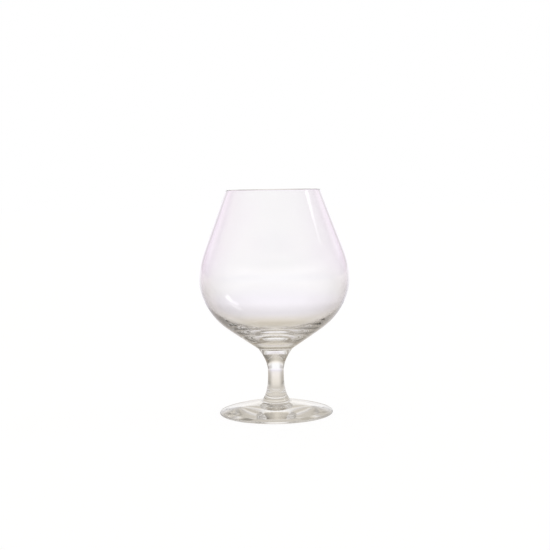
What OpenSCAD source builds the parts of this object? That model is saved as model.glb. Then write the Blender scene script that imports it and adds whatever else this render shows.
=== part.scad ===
// Brandy snifter: a blown bowl on a waisted stem and a pressed foot, all of clear glass.
// Millimetres, +Z up. The origin is the centre of the foot's underside, on the table.
// Every piece is one outline turned about the Z axis, drawn as points [radius, height].
// From the table up, its height is that of the boss, the stem, the lower and the upper bowl.

/* [Bowl] */
// Outer radius at the rim
rim_r = 29.8; // [26:0.2:34]
// Outer radius at the widest place
bowl_r = 47.5; // [44:0.5:52]
// Height of the rim above the widest place
upper_h = 56.8; // [50:0.1:64]
// Radius of the arc that turns the taper into the widest place
shoulder_r = 51.5; // [46:0.5:56]
// Radius of the short arc just under the widest place
belly_r = 28; // [24:0.5:34]
// Turn of the short arc, in degrees
belly_turn = 15; // [8:1:22]
// Radius of the long arc that runs into the lower cone
hip_r = 42.2; // [38:0.1:47]
// Slope of the lower cone from level, in degrees
cone_slope = 34.6; // [30:0.2:38]

/* [Glass thickness] */
// Wall from the rim down to the widest place
wall = 1.4; // [1:0.1:2]
// Thickness of the bowl's base on the axis
base_t = 11.8; // [9:0.1:14]

/* [Stem] */
// Height of the stem from the foot to its joint with the bowl
stem_h = 33.6; // [30:0.1:42]
// Radius of the ring where the stem meets the bowl
joint_r = 10.8; // [9.5:0.1:13]
// Slope of the stem from level where it meets the bowl, in degrees
joint_slope = 57; // [44:1:62]
// Radius at the waist, the thinnest place
waist_r = 5; // [4:0.1:6.5]
// Height of the waist above the foot's boss
waist_h = 18.9; // [15:0.1:23]
// Slope of the stem from level where it meets the foot, in degrees
ankle_slope = 36; // [24:1:44]

/* [Foot] */
// Outer radius of the foot
foot_r = 36; // [32:0.5:42]
// Radius of the flat boss that the stem is set on
boss_r = 10; // [8.6:0.1:11.5]
// Height of the boss above the table
boss_z = 8.1; // [7:0.1:9.5]
// Radius of the rounded edge
edge_r = 0.75; // [0.6:0.05:1]
// Gap between the table and the lowest point of the rounded edge
edge_gap = 0.4; // [0.2:0.05:0.6]
// Distance in from the edge at which the dome starts to turn down
haunch_in = 6.2; // [4.4:0.1:8]
// Height of the dome's outline there
haunch_z = 4.2; // [3.6:0.05:4.6]
// Distance in from the edge to the flat ring that the glass stands on
rest_in = 2.4; // [2:0.1:4]
// Width of that ring
rest_w = 3.8; // [2.4:0.1:6]
// Height of the hollow under the middle of the foot
hollow_h = 2.1; // [1:0.1:4]

/* [Hidden] */
$fn = 180;

// Steps along a tight arc and along a long curve
few = 8;
many = 16;

// The heading of straight down and the turn from one side of a line to the other, in degrees
down = -90;
half_turn = 180;

// Handles of the curves, as shares of the height or the radius that each curve covers
well_side_share = 0.59;
well_base_share = 0.585;
flare_joint_share = 0.275;
flare_waist_share = 0.45;
ankle_waist_share = 0.56;
ankle_foot_share = 0.22;
hollow_share = 0.27;

bowl_colour = [0.93, 0.91, 0.95];
stem_colour = [0.88, 0.87, 0.85];
foot_colour = [0.83, 0.84, 0.84];

// A unit vector at an angle from level
function heading(angle) = [cos(angle), sin(angle)];

// Points of an arc from one angle to another
function arc(centre, r, from, to, steps) =
    [for (i = [0:steps]) centre + r * heading(from + (to - from) * i / steps)];

// Points of a cubic Bezier curve with two handles
function curve(a, b, c, d, steps) = [
    for (i = [0:steps]) let (t = i / steps, u = 1 - t)
        u * u * u * a + 3 * u * u * t * b + 3 * u * t * t * c + t * t * t * d
];

// Points of a quadratic Bezier curve with one corner
function bend(a, b, c, steps) = [
    for (i = [0:steps]) let (t = i / steps, u = 1 - t)
        u * u * a + 2 * u * t * b + t * t * c
];

// A list without its first point, so that joined curves share one
function after_first(points) = [for (i = [1:len(points) - 1]) points[i]];
function reversed(points) = [for (i = [len(points) - 1:-1:0]) points[i]];

// Below the widest place, the short arc runs into the long one, and that into the lower cone,
// which runs straight to the joint with the stem. These points are taken from the widest height.
belly_in = [bowl_r - belly_r, 0];
hip_in = belly_in + (belly_r - hip_r) * heading(-belly_turn);
cone_in = hip_in + hip_r * heading(cone_slope + down);
lower_h = (cone_in[0] - joint_r) * tan(cone_slope) - cone_in[1];

// Heights above the table at which one stretch of the glass ends and the next begins
waist_z = boss_z + waist_h;
joint_z = boss_z + stem_h;
belly_z = joint_z + lower_h;
glass_h = belly_z + upper_h;
belly_centre = belly_in + [0, belly_z];
hip_centre = hip_in + [0, belly_z];

// The rim is a half-round lip, and the taper is the line that touches both it and the shoulder
lip_r = wall / 2;
lip_centre = [rim_r - lip_r, glass_h - lip_r];
shoulder_centre = [bowl_r - shoulder_r, belly_z];
lip_away = lip_centre - shoulder_centre;
taper = atan2(lip_away[1], lip_away[0]) - acos((shoulder_r - lip_r) / norm(lip_away));

// The bowl's base is a cap that carries the cone on to the axis, and the stem is cupped to match
base_r = joint_r / sin(cone_slope);
base_centre = [0, joint_z + base_r * cos(cone_slope)];
base_cap = arc(base_centre, base_r, cone_slope + down, down, few);

// Inside, the wall is even down to the widest place and then thickens into the base
inner_r = bowl_r - wall;
well_z = base_centre[1] - base_r + base_t;
well_h = belly_z - well_z;
well = curve(
    [inner_r, belly_z], [inner_r, belly_z - well_side_share * well_h],
    [well_base_share * inner_r, well_z], [0, well_z], 2 * many
);

bowl_outside = concat(
    reversed(arc(lip_centre, lip_r, taper, taper + half_turn, few)),
    arc(shoulder_centre, shoulder_r, taper, 0, many),
    after_first(arc(belly_centre, belly_r, 0, -belly_turn, few)),
    after_first(arc(hip_centre, hip_r, -belly_turn, cone_slope + down, many)),
    base_cap
);
bowl_inside = concat(
    arc(shoulder_centre, shoulder_r - wall, taper, 0, many),
    after_first(well)
);

// The stem draws in from the joint to the waist and spreads again to the boss
flare_h = joint_z - waist_z;
joint_point = [joint_r, joint_z];
boss_point = [boss_r, boss_z];
upper_flare = curve(
    joint_point, joint_point - flare_joint_share * flare_h * heading(joint_slope),
    [waist_r, waist_z + flare_waist_share * flare_h], [waist_r, waist_z], many
);
lower_flare = curve(
    [waist_r, waist_z], [waist_r, waist_z - ankle_waist_share * waist_h],
    boss_point + ankle_foot_share * waist_h * heading(half_turn - ankle_slope), boss_point, many
);

// The foot's dome touches its rounded edge where both have the same slope
rest_outer_r = foot_r - rest_in;
rest_inner_r = rest_outer_r - rest_w;
haunch_point = [foot_r - haunch_in, haunch_z];
edge_centre = [foot_r - edge_r, edge_gap + edge_r];
haunch_away = haunch_point - edge_centre;
edge_top = atan2(haunch_away[1], haunch_away[0]) - acos(edge_r / norm(haunch_away));
rest_away = [rest_outer_r, 0] - edge_centre;
edge_bottom = atan2(rest_away[1], rest_away[0]) + acos(edge_r / norm(rest_away));
edge = arc(edge_centre, edge_r, edge_bottom, edge_top, few);
dome = bend(edge[few], haunch_point, boss_point, many);
hollow = bend([0, hollow_h], [hollow_share * rest_inner_r, hollow_h], [rest_inner_r, 0], many);

module bowl() {
    color(bowl_colour)
        rotate_extrude() polygon(concat(bowl_outside, reversed(bowl_inside)));
}

module stem() {
    color(stem_colour)
        rotate_extrude() polygon(concat(
            reversed(base_cap), after_first(upper_flare), after_first(lower_flare), [[0, boss_z]]
        ));
}

module foot() {
    color(foot_colour)
        rotate_extrude() polygon(concat(
            hollow, [[rest_outer_r, 0]], edge, after_first(dome), [[0, boss_z]]
        ));
}

bowl();
stem();
foot();
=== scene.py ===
import math

import bpy
from mathutils import Matrix, Vector


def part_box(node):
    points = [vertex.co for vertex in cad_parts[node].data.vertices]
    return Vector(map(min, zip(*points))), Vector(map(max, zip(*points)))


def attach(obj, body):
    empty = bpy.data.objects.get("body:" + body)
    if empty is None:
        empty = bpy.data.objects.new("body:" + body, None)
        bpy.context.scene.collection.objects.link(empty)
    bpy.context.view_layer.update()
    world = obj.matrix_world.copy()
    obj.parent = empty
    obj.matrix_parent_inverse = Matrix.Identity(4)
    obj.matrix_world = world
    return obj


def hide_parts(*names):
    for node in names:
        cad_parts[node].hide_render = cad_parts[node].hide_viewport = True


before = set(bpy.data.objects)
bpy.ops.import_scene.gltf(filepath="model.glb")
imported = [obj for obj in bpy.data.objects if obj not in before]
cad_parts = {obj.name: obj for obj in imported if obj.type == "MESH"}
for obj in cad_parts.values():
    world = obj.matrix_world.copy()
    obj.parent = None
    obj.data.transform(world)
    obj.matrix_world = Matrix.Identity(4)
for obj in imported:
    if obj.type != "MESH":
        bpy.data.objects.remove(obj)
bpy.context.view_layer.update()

# The main sizes, in metres, come from the boxes of the CAD nodes
bowl_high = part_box("bowl")[1]
stem_low, stem_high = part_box("stem")
foot_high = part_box("foot")[1]
glass_h = bowl_high.z
bowl_r = bowl_high.x
joint_r = stem_high.x
joint_z = stem_high.z
boss_z = stem_low.z
foot_r = foot_high.x

# The other sizes are the construction's own
rim_r = 0.0298
shoulder_r = 0.0515
belly_r = 0.028
belly_turn = math.radians(15)
hip_r = 0.0422
cone_slope = math.radians(34.6)
wall = 0.0014
base_t = 0.0118
joint_slope = math.radians(57)
waist_r = 0.005
waist_h = 0.0189
ankle_slope = math.radians(36)
boss_r = 0.01
edge_r = 0.00075
edge_gap = 0.0004
haunch_in = 0.0062
haunch_z = 0.0042
rest_in = 0.0024
rest_w = 0.0038
hollow_h = 0.0021
well_side_share = 0.59
well_base_share = 0.585
flare_joint_share = 0.275
flare_waist_share = 0.45
ankle_waist_share = 0.56
ankle_foot_share = 0.22
hollow_share = 0.27

# Steps round the axis and along the outline, and the spacing of points on the bowl's long curves
around = 192
long_steps = 48
short_steps = 20
bowl_step = 0.0008
bowl_reach = 0.012
down = -math.pi / 2


def heading(angle):
    return Vector((math.cos(angle), math.sin(angle)))


def angle_of(v):
    return math.atan2(v.y, v.x)


def arc(centre, r, start, end, steps):
    return [centre + r * heading(start + (end - start) * i / steps) for i in range(steps + 1)]


def curve(a, b, c, d, steps):
    points = []
    for i in range(steps + 1):
        t = i / steps
        u = 1 - t
        points.append(u ** 3 * a + 3 * u * u * t * b + 3 * u * t * t * c + t ** 3 * d)
    return points


def bend(a, b, c, steps):
    points = []
    for i in range(steps + 1):
        t = i / steps
        u = 1 - t
        points.append(u * u * a + 2 * u * t * b + t * t * c)
    return points


def straight(a, b, steps):
    return [a.lerp(b, i / steps) for i in range(steps + 1)]


def joined(*runs):
    points = list(runs[0])
    for run in runs[1:]:
        points += run[1:]
    return points


# A curve sampled again at even steps
def even(points, step):
    tiny = 1e-12
    lengths = [0.0]
    for a, b in zip(points, points[1:]):
        lengths.append(lengths[-1] + (b - a).length)
    count = max(2, round(lengths[-1] / step))
    spaced, i = [], 0
    for k in range(count + 1):
        at = lengths[-1] * k / count
        while i < len(points) - 2 and lengths[i + 1] < at:
            i += 1
        share = (at - lengths[i]) / max(lengths[i + 1] - lengths[i], tiny)
        spaced.append(points[i].lerp(points[i + 1], min(share, 1.0)))
    return spaced


# Each point drawn to the mean of its neighbours within reach, with both ends kept
def averaged(points, reach, step):
    span = round(reach / step)
    last = len(points) - 1
    padded = [2 * points[0] - points[min(i, last)] for i in range(span, 0, -1)] + points
    padded += [2 * points[-1] - points[max(last - i, 0)] for i in range(1, span + 1)]
    weights = [(math.cos(math.pi * i / (span + 1)) + 1) / 2 for i in range(-span, span + 1)]
    total = sum(weights)
    means = []
    for i in range(len(points)):
        mean = Vector((0, 0))
        for k, w in enumerate(weights):
            mean += padded[i + k] * (w / total)
        means.append(mean)
    return means


# Blown glass flows from one curvature to the next, so the joins between arcs are eased
def eased(points):
    points = even(points, bowl_step)
    once = averaged(points, bowl_reach, bowl_step)
    twice = averaged(once, bowl_reach, bowl_step)
    return [2 * a - b for a, b in zip(once, twice)]


# Construction points, as [radius, height], that the pieces share
belly_in = Vector((bowl_r - belly_r, 0))
hip_in = belly_in + (belly_r - hip_r) * heading(-belly_turn)
cone_in = hip_in + hip_r * heading(cone_slope + down)
belly_z = joint_z + (cone_in.x - joint_r) * math.tan(cone_slope) - cone_in.y
waist_z = boss_z + waist_h
joint = Vector((joint_r, joint_z))
boss = Vector((boss_r, boss_z))
base_r = joint_r / math.sin(cone_slope)
base_centre = Vector((0, joint_z + base_r * math.cos(cone_slope)))


def base_cap():
    return arc(base_centre, base_r, cone_slope + down, down, short_steps)


def bowl_outline():
    lip_r = wall / 2
    lip_centre = Vector((rim_r - lip_r, glass_h - lip_r))
    shoulder_centre = Vector((bowl_r - shoulder_r, belly_z))
    lip_away = lip_centre - shoulder_centre
    taper = angle_of(lip_away) - math.acos((shoulder_r - lip_r) / lip_away.length)
    lift = Vector((0, belly_z))
    lip = arc(lip_centre, lip_r, taper + math.pi, taper, short_steps)
    shoulder = arc(shoulder_centre, shoulder_r, taper, 0, long_steps)
    outside = eased(joined(
        straight(lip[-1], shoulder[0], long_steps),
        shoulder,
        arc(belly_in + lift, belly_r, 0, -belly_turn, short_steps),
        arc(hip_in + lift, hip_r, -belly_turn, cone_slope + down, long_steps),
        straight(cone_in + lift, joint, short_steps),
    ))
    inner_r = bowl_r - wall
    well_z = base_centre.y - base_r + base_t
    well_h = belly_z - well_z
    shoulder = arc(shoulder_centre, shoulder_r - wall, taper, 0, long_steps)
    inside = eased(joined(
        straight(lip[0], shoulder[0], long_steps),
        shoulder,
        curve(
            Vector((inner_r, belly_z)), Vector((inner_r, belly_z - well_side_share * well_h)),
            Vector((well_base_share * inner_r, well_z)), Vector((0, well_z)), 2 * long_steps,
        ),
    ))
    inside[-1].x = 0
    return joined(inside[::-1], lip, outside)


def stem_outline():
    flare_h = joint_z - waist_z
    return joined(
        curve(
            joint, joint - flare_joint_share * flare_h * heading(joint_slope),
            Vector((waist_r, waist_z + flare_waist_share * flare_h)), Vector((waist_r, waist_z)), long_steps,
        ),
        curve(
            Vector((waist_r, waist_z)), Vector((waist_r, waist_z - ankle_waist_share * waist_h)),
            boss + ankle_foot_share * waist_h * heading(math.pi - ankle_slope), boss, long_steps,
        ),
    )


def foot_outline():
    edge_centre = Vector((foot_r - edge_r, edge_gap + edge_r))
    haunch = Vector((foot_r - haunch_in, haunch_z))
    rest_outer = Vector((foot_r - rest_in, 0))
    rest_inner = Vector((foot_r - rest_in - rest_w, 0))
    away = haunch - edge_centre
    edge_top = angle_of(away) - math.acos(edge_r / away.length)
    away = rest_outer - edge_centre
    edge_bottom = angle_of(away) + math.acos(edge_r / away.length)
    edge = arc(edge_centre, edge_r, edge_top, edge_bottom, short_steps)
    return joined(
        bend(boss, haunch, edge[0], long_steps),
        edge,
        straight(edge[-1], rest_outer, short_steps),
        straight(rest_outer, rest_inner, short_steps),
        bend(rest_inner, Vector((hollow_share * rest_inner.x, hollow_h)), Vector((0, hollow_h)), long_steps),
    )


# A piece is turned from runs of outline. Each run has its own material, and runs meet at a sharp ring.
def turned(name, runs, materials):
    outline, slots, corners = [], [], set()
    for points, slot in runs:
        if outline:
            corners.add(len(outline) - 1)
            points = points[1:]
        slots += [slot] * (len(points) if outline else len(points) - 1)
        outline += points
    on_axis = 1e-9
    verts, rings = [], []
    for p in outline:
        if p.x < on_axis:
            rings.append([len(verts)])
            verts.append((0, 0, p.y))
        else:
            rings.append(range(len(verts), len(verts) + around))
            for k in range(around):
                turn = 2 * math.pi * k / around
                verts.append((p.x * math.cos(turn), p.x * math.sin(turn), p.y))
    faces, face_slots = [], []
    for i in range(len(rings) - 1):
        a, b = rings[i], rings[i + 1]
        for k in range(around):
            n = (k + 1) % around
            if len(a) == 1:
                faces.append((a[0], b[k], b[n]))
            elif len(b) == 1:
                faces.append((a[k], b[0], a[n]))
            else:
                faces.append((a[k], b[k], b[n], a[n]))
            face_slots.append(slots[i])
    mesh = bpy.data.meshes.new(name)
    mesh.from_pydata(verts, [], faces)
    for m in materials:
        mesh.materials.append(m)
    mesh.polygons.foreach_set("material_index", face_slots)
    mesh.polygons.foreach_set("use_smooth", [True] * len(faces))
    sharp = {tuple(sorted((rings[i][k], rings[i][(k + 1) % around]))) for i in corners for k in range(around)}
    for e in mesh.edges:
        if tuple(sorted(e.vertices)) in sharp:
            e.use_edge_sharp = True
    mesh.update()
    piece = bpy.data.objects.new(name, mesh)
    bpy.context.scene.collection.objects.link(piece)
    return piece


# Short ways to write node trees
class Tree:
    def __init__(self, tree):
        self.tree = tree

    def node(self, kind, **settings):
        made = self.tree.nodes.new(kind)
        for key, value in settings.items():
            setattr(made, key, value)
        return made

    def link(self, source, target):
        if isinstance(source, bpy.types.NodeSocket):
            self.tree.links.new(source, target)
        else:
            target.default_value = source

    def math(self, operation, a, b=0.0, clamp=False):
        made = self.node("ShaderNodeMath", operation=operation, use_clamp=clamp)
        self.link(a, made.inputs[0])
        self.link(b, made.inputs[1])
        return made.outputs[0]

    def smooth(self, value, low, high, out_low=0.0, out_high=1.0):
        made = self.node("ShaderNodeMapRange", interpolation_type="SMOOTHSTEP")
        for key, v in (("Value", value), ("From Min", low), ("From Max", high), ("To Min", out_low),
                       ("To Max", out_high)):
            self.link(v, made.inputs[key])
        return made.outputs["Result"]

    def mix(self, factor, a, b):
        made = self.node("ShaderNodeMix", data_type="RGBA", clamp_factor=True)
        self.link(factor, made.inputs[0])
        self.link(a, made.inputs[6])
        self.link(b, made.inputs[7])
        return made.outputs[2]

    def blend(self, factor, a, b):
        made = self.node("ShaderNodeMix", data_type="FLOAT", clamp_factor=True)
        self.link(factor, made.inputs[0])
        self.link(a, made.inputs[2])
        self.link(b, made.inputs[3])
        return made.outputs[0]

    def scaled(self, colour, factor):
        made = self.node("ShaderNodeVectorMath", operation="SCALE")
        self.link(colour, made.inputs[0])
        self.link(factor, made.inputs["Scale"])
        return made.outputs[0]

    # A tone that follows stops of (value, tone)
    def ramp(self, value, low, high, stops):
        made = self.node("ShaderNodeValToRGB")
        self.link(self.math("DIVIDE", self.math("SUBTRACT", value, low), high - low), made.inputs[0])
        elements = made.color_ramp.elements
        while len(elements) < len(stops):
            elements.new(1.0)
        for element, (at, tone) in zip(elements, stops):
            element.position = (at - low) / (high - low)
            element.color = (tone, tone, tone, 1)
        return made.outputs[0]

    def noise(self, place, size, detail):
        made = self.node("ShaderNodeTexNoise")
        self.link(place, made.inputs["Vector"])
        made.inputs["Scale"].default_value = 1 / size
        made.inputs["Detail"].default_value = detail
        return made.outputs["Fac"]

    def stretched(self, place, stretch):
        made = self.node("ShaderNodeVectorMath", operation="MULTIPLY")
        self.link(place, made.inputs[0])
        made.inputs[1].default_value = stretch
        return made.outputs[0]

    def split(self, vector):
        made = self.node("ShaderNodeSeparateXYZ")
        self.link(vector, made.inputs[0])
        return made.outputs[0], made.outputs[1], made.outputs[2]


def new_material(name):
    mat = bpy.data.materials.new(name)
    mat.use_nodes = True
    return mat, mat.node_tree, mat.node_tree.nodes["Principled BSDF"]


# Glass: its index, how a face aslant takes on its tint, and how tint and polish vary from place to place
INDEX = 1.52
SLANT_BLEND = 0.35
SLANT_POWER = 1.6
TINT_WAVER = 0.4
HAZE = 0.006
CLOUD_SIZE = 0.03
CLOUD_MEAN = 0.5
CLOUD_SPAN = (0.3, 0.7)
DETAIL = 2.0
WHITE = (1, 1, 1, 1)


# Clear glass with faint waves and a nearly even polish. It has a tint straight through and one aslant. Both
# may change with height: each entry of tints_and_painted_shade is (height, tint, slant tint), from the
# highest down. A darker entry paints shade into the glass's colour.
def glass(name, tints_and_painted_shade, wave_size, wave_depth, wave_stretch):
    mat, tree, shader = new_material(name)
    shader.inputs["IOR"].default_value = INDEX
    shader.inputs["Transmission Weight"].default_value = 1.0
    t = Tree(tree)
    place = t.node("ShaderNodeTexCoord").outputs["Object"]
    cloud = t.noise(place, CLOUD_SIZE, DETAIL)
    slant = t.node("ShaderNodeLayerWeight")
    slant.inputs["Blend"].default_value = SLANT_BLEND
    uneven = t.math("MULTIPLY", t.math("SUBTRACT", cloud, CLOUD_MEAN), TINT_WAVER)
    aslant = t.math("POWER", t.math("ADD", slant.outputs["Facing"], uneven, True), SLANT_POWER)
    above, tint, slant_tint_and_shade = tints_and_painted_shade[0]
    for z, low_tint_and_shade, low_slant_tint_and_shade in tints_and_painted_shade[1:]:
        share = t.smooth(t.split(place)[2], above, z)
        tint = t.mix(share, tint, low_tint_and_shade)
        slant_tint_and_shade = t.mix(share, slant_tint_and_shade, low_slant_tint_and_shade)
        above = z
    t.link(t.mix(aslant, tint, slant_tint_and_shade), shader.inputs["Base Color"])
    t.link(t.smooth(cloud, *CLOUD_SPAN, 0.0, HAZE), shader.inputs["Roughness"])
    waves = t.noise(t.stretched(place, wave_stretch), wave_size, DETAIL)
    relief = t.node("ShaderNodeBump")
    relief.inputs["Distance"].default_value = wave_depth
    t.link(waves, relief.inputs["Height"])
    t.link(relief.outputs[0], shader.inputs["Normal"])
    return mat


# The faces where two pieces are fused are clear, so that light goes straight across them
def weld_material():
    mat = bpy.data.materials.new("fused_joint")
    mat.use_nodes = True
    tree = mat.node_tree
    tree.nodes.remove(tree.nodes["Principled BSDF"])
    clear = tree.nodes.new("ShaderNodeBsdfTransparent")
    tree.links.new(clear.outputs[0], tree.nodes["Material Output"].inputs["Surface"])
    return mat


GLASS, WELD = 0, 1
weld = weld_material()
on_boss = straight(boss, Vector((0, boss_z)), short_steps)
# The bowl is lilac above. Lower down, its faces aslant and then its thick base are darkened to a warm grey:
# painted shade for the dim room and table seen in the glass there.
bowl_tints_and_painted_shade = (
    (0.098, WHITE, (0.98, 0.80, 1.0, 1)),
    (0.076, WHITE, (0.44, 0.39, 0.35, 1)),
    (0.056, (1.0, 1.0, 0.99, 1), (0.78, 0.74, 0.68, 1)),
    (0.045, (0.70, 0.67, 0.60, 1), (0.70, 0.67, 0.60, 1)),
)
# The stem and the foot are one pale, slightly warm glass
pale = ((0.0, (0.99, 0.985, 0.975, 1), (0.95, 0.945, 0.925, 1)),)
upright = (1, 1, 0.4)
alike = (1, 1, 1)
bowl_look = glass("bowl_glass_look", bowl_tints_and_painted_shade, wave_size=0.02, wave_depth=0.00002, wave_stretch=upright)
stem_look = glass("stem_glass_look", pale, wave_size=0.012, wave_depth=0.00001, wave_stretch=alike)
foot_look = glass("foot_glass_look", pale, wave_size=0.01, wave_depth=0.00003, wave_stretch=alike)

bowl_runs = [(bowl_outline(), GLASS), (base_cap(), WELD)]
stem_runs = [(base_cap()[::-1], WELD), (stem_outline(), GLASS), (on_boss, WELD)]
foot_runs = [(on_boss[::-1], WELD), (foot_outline(), GLASS)]
bowl = turned("blown_bowl", bowl_runs, [bowl_look, weld])
stem = turned("drawn_stem", stem_runs, [stem_look, weld])
foot = turned("pressed_foot", foot_runs, [foot_look, weld])
for piece, node, slot in (
    (bowl, "bowl", "bowl_glass"),
    (stem, "stem", "stem_glass"),
    (foot, "foot", "foot_glass"),
):
    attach(piece, "root")
    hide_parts(node)


# The camera stands in front, a little above the rim, and is rolled very slightly
def place_camera():
    away, height, side = 0.72, 0.147, 0.00044
    pitch, roll = math.radians(4.64), math.radians(-0.908)
    lens, sensor = 74.68, 36
    nearest, farthest = 0.05, 50
    forward = Vector((0, math.cos(pitch), -math.sin(pitch)))
    level_up = Vector((0, math.sin(pitch), math.cos(pitch)))
    level_right = Vector((1, 0, 0))
    right = math.cos(roll) * level_right + math.sin(roll) * level_up
    up = -math.sin(roll) * level_right + math.cos(roll) * level_up
    data = bpy.data.cameras.new("camera")
    data.lens = lens
    data.sensor_width = sensor
    data.clip_start = nearest
    data.clip_end = farthest
    camera = bpy.data.objects.new("camera", data)
    bpy.context.scene.collection.objects.link(camera)
    turn = Matrix((right, up, -forward)).transposed().to_4x4()
    turn.translation = Vector((side, -away, height))
    camera.matrix_world = turn
    bpy.context.scene.camera = camera


# The room round the glass, as tones by azimuth from the middle of the backdrop, in degrees to the right.
# There is one ring of tones for each elevation. A white backdrop stands between darker walls, and the room
# is dim above and behind.
ALL_ROUND = (-180, 180)
AT_HORIZON = (
    (-180, 0.50), (-110, 0.50), (-85, 0.35), (-60, 0.35), (-50, 0.60), (-25, 0.70), (-15, 1.05),
    (15, 1.05), (25, 0.70), (35, 0.70), (50, 0.45), (75, 0.35), (90, 0.20), (120, 0.20), (180, 0.50),
)
RAISED = (
    (-180, 0.60), (-130, 0.80), (-90, 0.35), (-60, 0.35), (-50, 0.85), (-20, 0.90), (-10, 1.05),
    (10, 1.05), (20, 0.90), (50, 0.85), (60, 0.35), (90, 0.35), (130, 0.70), (180, 0.60),
)
HIGH = (
    (-180, 0.25), (-110, 0.45), (-50, 0.40), (0, 0.70), (50, 0.10), (110, 0.25), (180, 0.25),
)
TOP = 0.5
# Elevations between which each ring gives way to the next
TO_RAISED = (6, 13)
TO_HIGH = (14, 26)
TO_TOP = (40, 65)
# Tints of the light and the darker parts near the horizon, and of what is higher, with the tones and the
# elevations between which they change
LIGHT_TINT = (1, 1, 1.02, 1)
WALL_TINT = (1, 0.96, 0.95, 1)
HIGH_TINT = (1, 0.93, 0.82, 1)
TO_WALL_TINT = (1.0, 0.6)
TO_HIGH_TINT = (8, 25)
# The backdrop as it is seen straight through the bowl, a little above white to make up for the glass
BACKDROP = (1.05, 1.04, 1.06, 1)
# A tall lamp: azimuth of its sides, elevation of its ends, the width of its soft edges, and its strength
SOFTBOX_SIDES = (76.5, 89)
SOFTBOX_ENDS = (25, 50)
SOFTBOX_EDGE = 2.5
SOFTBOX_SHINE = 2.6
# Where a ray through a single wall counts as straight through: the turn from the middle of the backdrop,
# the elevation in the room, and the distance on the floor in millimetres
ASIDE = (65, 80)
LOW_ENOUGH = (10, 5)
FAR_ENOUGH = (120, 200)


# One between two limits, with a soft edge inside each
def between(t, value, limits, edge):
    low, high = limits
    return t.math("MULTIPLY", t.smooth(value, low, low + edge), t.smooth(value, high, high - edge))


# One for rays that went straight through both walls of the bowl, with no reflection on the way. A wall
# counts as two crossings. Where aside is one, a single wall is enough, as when one looks into the mouth
# from the side.
def straight_through(t, paths, aside):
    crossings = paths.outputs["Transmission Depth"]
    one_wall = t.math("MULTIPLY", t.math("GREATER_THAN", crossings, 1.5), aside)
    walls = t.math("MAXIMUM", t.math("GREATER_THAN", crossings, 3.5), one_wall)
    unreflected = t.math("LESS_THAN", paths.outputs["Glossy Depth"], 0.5)
    return t.math("MULTIPLY", walls, unreflected)


def studio_world():
    world = bpy.data.worlds.new("studio")
    world.use_nodes = True
    t = Tree(world.node_tree)
    back = world.node_tree.nodes["Background"]
    coords = t.node("ShaderNodeTexCoord")
    x, y, z = t.split(coords.outputs["Generated"])
    azimuth = t.math("DIVIDE", t.math("ARCTAN2", x, y), math.radians(1))
    elevation = t.math("DIVIDE", t.math("ARCSINE", z), math.radians(1))
    tone = t.ramp(azimuth, *ALL_ROUND, AT_HORIZON)
    tone = t.blend(t.smooth(elevation, *TO_RAISED), tone, t.ramp(azimuth, *ALL_ROUND, RAISED))
    tone = t.blend(t.smooth(elevation, *TO_HIGH), tone, t.ramp(azimuth, *ALL_ROUND, HIGH))
    tone = t.blend(t.smooth(elevation, *TO_TOP), tone, TOP)
    tint = t.mix(t.smooth(tone, *TO_WALL_TINT), LIGHT_TINT, WALL_TINT)
    tint = t.mix(t.smooth(elevation, *TO_HIGH_TINT), tint, HIGH_TINT)
    room = t.scaled(tint, tone)
    across = between(t, azimuth, SOFTBOX_SIDES, SOFTBOX_EDGE)
    along = between(t, elevation, SOFTBOX_ENDS, SOFTBOX_EDGE)
    lamp = (SOFTBOX_SHINE, SOFTBOX_SHINE, SOFTBOX_SHINE, 1)
    room = t.mix(t.math("MULTIPLY", across, along), room, lamp)
    paths = t.node("ShaderNodeLightPath")
    beside = t.smooth(t.math("ABSOLUTE", azimuth), *ASIDE)
    aside = t.math("MULTIPLY", beside, t.smooth(elevation, *LOW_ENOUGH))
    room = t.mix(straight_through(t, paths, aside), room, BACKDROP)
    seen = t.mix(paths.outputs["Is Camera Ray"], room, WHITE)
    t.link(seen, back.inputs["Color"])
    back.inputs["Strength"].default_value = 1.0
    bpy.context.scene.world = world


MM_PER_M = 1000
# The paper under the glass, as tones by distance in millimetres: straight behind the glass, at a slant
# behind it, and elsewhere. The camera sees it white with a faint shadow. The glass sees it glowing in a warm
# tone with painted shadow: darker in a ring close round the glass and to the sides and front, clearing to the
# backdrop. Straight through the bowl it is on every side as it is behind.
FLOOR_REACH = 500
FLOOR_BEHIND = (
    (0, 0.75), (35, 0.60), (60, 0.80), (120, 0.95), (280, 0.90), (500, 1.05),
)
FLOOR_BESIDE = (
    (0, 0.60), (30, 0.70), (42, 0.50), (55, 0.35), (85, 0.50), (180, 0.65), (500, 0.80),
)
FLOOR_AROUND = (
    (0, 0.80), (30, 0.85), (45, 0.25), (60, 0.25), (85, 0.45), (180, 0.30), (500, 0.50),
)
# Turns, in degrees from straight behind, between which one run of tones gives way to the next
TO_BESIDE = (10, 38)
TO_AROUND = (50, 85)
# Tints of the paper behind the glass and round it, and the distances and turns between which they change
NEAR_BEHIND_TINT = (1, 0.94, 0.85, 1)
BEHIND_TINT = (1, 0.97, 1.04, 1)
FAR_TINT = (1, 0.99, 1.01, 1)
NEAR_AROUND_TINT = (1, 0.98, 0.97, 1)
AROUND_TINT = (1, 0.88, 0.74, 1)
TO_BEHIND_TINT = (40, 280)
TO_FAR_TINT = (500, 1400)
TO_AROUND_TINT = (45, 70)
TINT_TURN = (20, 90)
# The camera sees the paper's own glow and a small share of lit paper, which takes the shadow
PAPER_GLOW = (0.95, 0.95, 0.95, 1)
PAPER_LIT = (0.12, 0.12, 0.12, 1)
BLACK = (0, 0, 0, 1)


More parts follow.
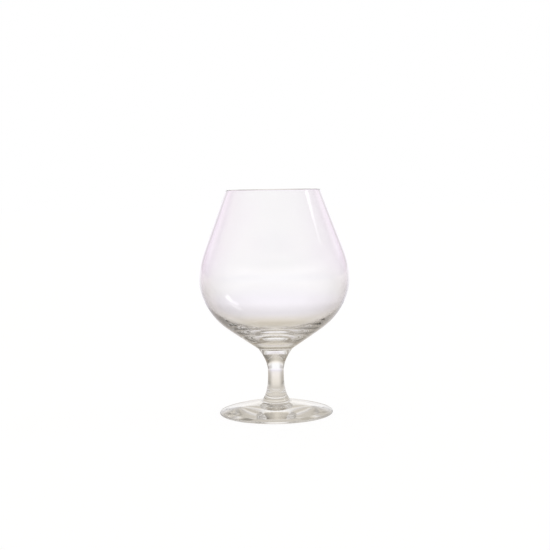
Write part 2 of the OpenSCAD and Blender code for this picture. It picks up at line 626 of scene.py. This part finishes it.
def floor_material():
    mat = bpy.data.materials.new("paper_floor")
    mat.use_nodes = True
    tree = mat.node_tree
    tree.nodes.remove(tree.nodes["Principled BSDF"])
    t = Tree(tree)
    coords = t.node("ShaderNodeTexCoord")
    x, y, _ = t.split(coords.outputs["Object"])
    away = t.math("SQRT", t.math("ADD", t.math("MULTIPLY", x, x), t.math("MULTIPLY", y, y)))
    away = t.math("MULTIPLY", away, MM_PER_M)
    turn = t.math("ABSOLUTE", t.math("DIVIDE", t.math("ARCTAN2", x, y), math.radians(1)))
    paths = t.node("ShaderNodeLightPath")
    aside = t.math("MULTIPLY", t.smooth(turn, *ASIDE), t.smooth(away, *FAR_ENOUGH))
    turn = t.math("MULTIPLY", turn, t.math("SUBTRACT", 1, straight_through(t, paths, aside)))
    # Painted shadow: the glow that the glass sees dips close round the glass and is darker to the sides and
    # front
    tone = t.ramp(away, 0, FLOOR_REACH, FLOOR_BEHIND)
    tone = t.blend(t.smooth(turn, *TO_BESIDE), tone, t.ramp(away, 0, FLOOR_REACH, FLOOR_BESIDE))
    tone = t.blend(t.smooth(turn, *TO_AROUND), tone, t.ramp(away, 0, FLOOR_REACH, FLOOR_AROUND))
    behind_tint = t.mix(t.smooth(away, *TO_BEHIND_TINT), NEAR_BEHIND_TINT, BEHIND_TINT)
    behind_tint = t.mix(t.smooth(away, *TO_FAR_TINT), behind_tint, FAR_TINT)
    around_tint = t.mix(t.smooth(away, *TO_AROUND_TINT), NEAR_AROUND_TINT, AROUND_TINT)
    shade = t.scaled(t.mix(t.smooth(turn, *TINT_TURN), behind_tint, around_tint), tone)
    by_camera = paths.outputs["Is Camera Ray"]
    glow = t.node("ShaderNodeEmission")
    t.link(t.mix(by_camera, shade, PAPER_GLOW), glow.inputs["Color"])
    paper = t.node("ShaderNodeBsdfDiffuse")
    t.link(t.mix(by_camera, BLACK, PAPER_LIT), paper.inputs["Color"])
    both = t.node("ShaderNodeAddShader")
    t.link(glow.outputs[0], both.inputs[0])
    t.link(paper.outputs[0], both.inputs[1])
    t.link(both.outputs[0], tree.nodes["Material Output"].inputs["Surface"])
    return mat


# The floor lies a hair below the glass, so that the two faces never coincide
def lay_floor():
    reach = 6
    gap = 0.00002
    mesh = bpy.data.meshes.new("floor")
    corners = [(-reach, -reach, 0), (reach, -reach, 0), (reach, reach, 0), (-reach, reach, 0)]
    mesh.from_pydata(corners, [], [(0, 1, 2, 3)])
    mesh.materials.append(floor_material())
    floor = bpy.data.objects.new("floor", mesh)
    bpy.context.scene.collection.objects.link(floor)
    floor.location.z = -gap


place_camera()
studio_world()
lay_floor()
bpy.context.scene.view_settings.view_transform = "Standard"

# Light turns many times in the thick glass before it leaves
light_turns = 64
rays = bpy.context.scene.cycles
rays.max_bounces = light_turns
rays.transmission_bounces = light_turns
rays.glossy_bounces = light_turns
